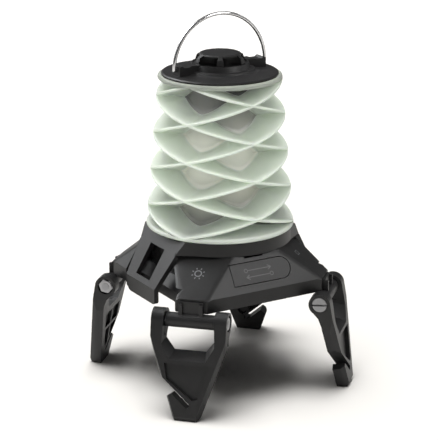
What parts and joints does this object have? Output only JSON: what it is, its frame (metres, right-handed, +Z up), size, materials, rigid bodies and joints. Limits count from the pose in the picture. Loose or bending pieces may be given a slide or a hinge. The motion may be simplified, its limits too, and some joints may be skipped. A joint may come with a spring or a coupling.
{
  "type": "camping lantern",
  "caption": "Collapsible camping lantern: ribbed silicone globe between a black cap with wire bail and a faceted base on folding hook-footed legs.",
  "frame": {"origin": "on the ground under the middle of the lantern, legs open", "axes": "+Z up through the globe, -Y toward the charging port flap, +X and -X toward the strap brackets"},
  "size_m": [0.1234, 0.1234, 0.2023],
  "materials": {
    "black_plastic": "fine texture, low sheen",
    "dark_plastic": "matte",
    "soft_rubber": "soft touch",
    "silicone": "translucent pale green silicone",
    "bright_steel": "bright",
    "wire": "polished",
    "spring_steel": "nickel plated",
    "heat_plate": "satin",
    "reflector": "bright",
    "lens": "frosted diffuser",
    "led": "phosphor",
    "circuit": "solder mask",
    "circuit_white": "white solder mask",
    "cell_wrap": "shrink wrap"
  },
  "bodies": {
    "base": {"housing": "black_plastic", "bottom_cover": "dark_plastic", "cover_screws": "bright_steel", "collar_ring": "black_plastic", "globe_clamp_ring": "dark_plastic", "heat_spreader": "heat_plate", "led_board": "circuit_white", "led_chips": "led", "lens_dome": "lens", "battery_holder": "dark_plastic", "battery_cells": "cell_wrap", "contact_springs": "spring_steel", "contact_plates": "spring_steel", "driver_board": "circuit", "port_board": "circuit", "usb_sockets": "bright_steel", "button_board": "circuit", "tact_switch": "dark_plastic", "globe": "silicone"},
    "cap": {"top_cap": "black_plastic", "cap_inner_plate": "dark_plastic", "cap_reflector": "reflector", "cap_screws": "bright_steel"},
    "bail": {"bail_wire": "wire"},
    "flap": {"port_flap": "soft_rubber"},
    "button": {"power_button": "soft_rubber"},
    "leg_front_left": {"leg_front_left": "black_plastic", "screw_front_left": "bright_steel", "nut_front_left": "bright_steel"},
    "leg_front_right": {"leg_front_right": "black_plastic", "screw_front_right": "bright_steel", "nut_front_right": "bright_steel"},
    "leg_back_right": {"leg_back_right": "black_plastic", "screw_back_right": "bright_steel", "nut_back_right": "bright_steel"},
    "leg_back_left": {"leg_back_left": "black_plastic", "screw_back_left": "bright_steel", "nut_back_left": "bright_steel"}
  },
  "joints": [
    {"name": "globe_collapse", "type": "slide", "parent": "base", "child": "cap", "axis": [0, 0, 1], "range_m": [-0.064, 0], "deforming": ["globe"]},
    {"name": "bail_swing", "type": "hinge", "parent": "cap", "child": "bail", "pos_m": [0, 0, 0.1736], "axis": [1, 0, 0], "range_deg": [-92, 92]},
    {"name": "flap_open", "type": "hinge", "parent": "base", "child": "flap", "pos_m": [-0.0172, -0.04164, 0.07044], "axis": [0, -0.515, -0.8572], "range_deg": [0, 90]},
    {"name": "button_press", "type": "slide", "parent": "base", "child": "button", "axis": [0, -0.8572, -0.515], "range_m": [0, 0.001], "stiffness_N_per_m": 400, "springref_m": -0.0005},
    {"name": "front_left_leg_fold", "type": "hinge", "parent": "base", "child": "leg_front_left", "pos_m": [-0.04221, -0.04221, 0.0508], "axis": [0.7071, -0.7071, 0], "range_deg": [0, 100]},
    {"name": "front_right_leg_fold", "type": "hinge", "parent": "base", "child": "leg_front_right", "pos_m": [0.04221, -0.04221, 0.0508], "axis": [0.7071, 0.7071, 0], "range_deg": [0, 100]},
    {"name": "back_right_leg_fold", "type": "hinge", "parent": "base", "child": "leg_back_right", "pos_m": [0.04221, 0.04221, 0.0508], "axis": [-0.7071, 0.7071, 0], "range_deg": [0, 100]},
    {"name": "back_left_leg_fold", "type": "hinge", "parent": "base", "child": "leg_back_left", "pos_m": [-0.04221, 0.04221, 0.0508], "axis": [-0.7071, -0.7071, 0], "range_deg": [0, 100]}
  ]
}
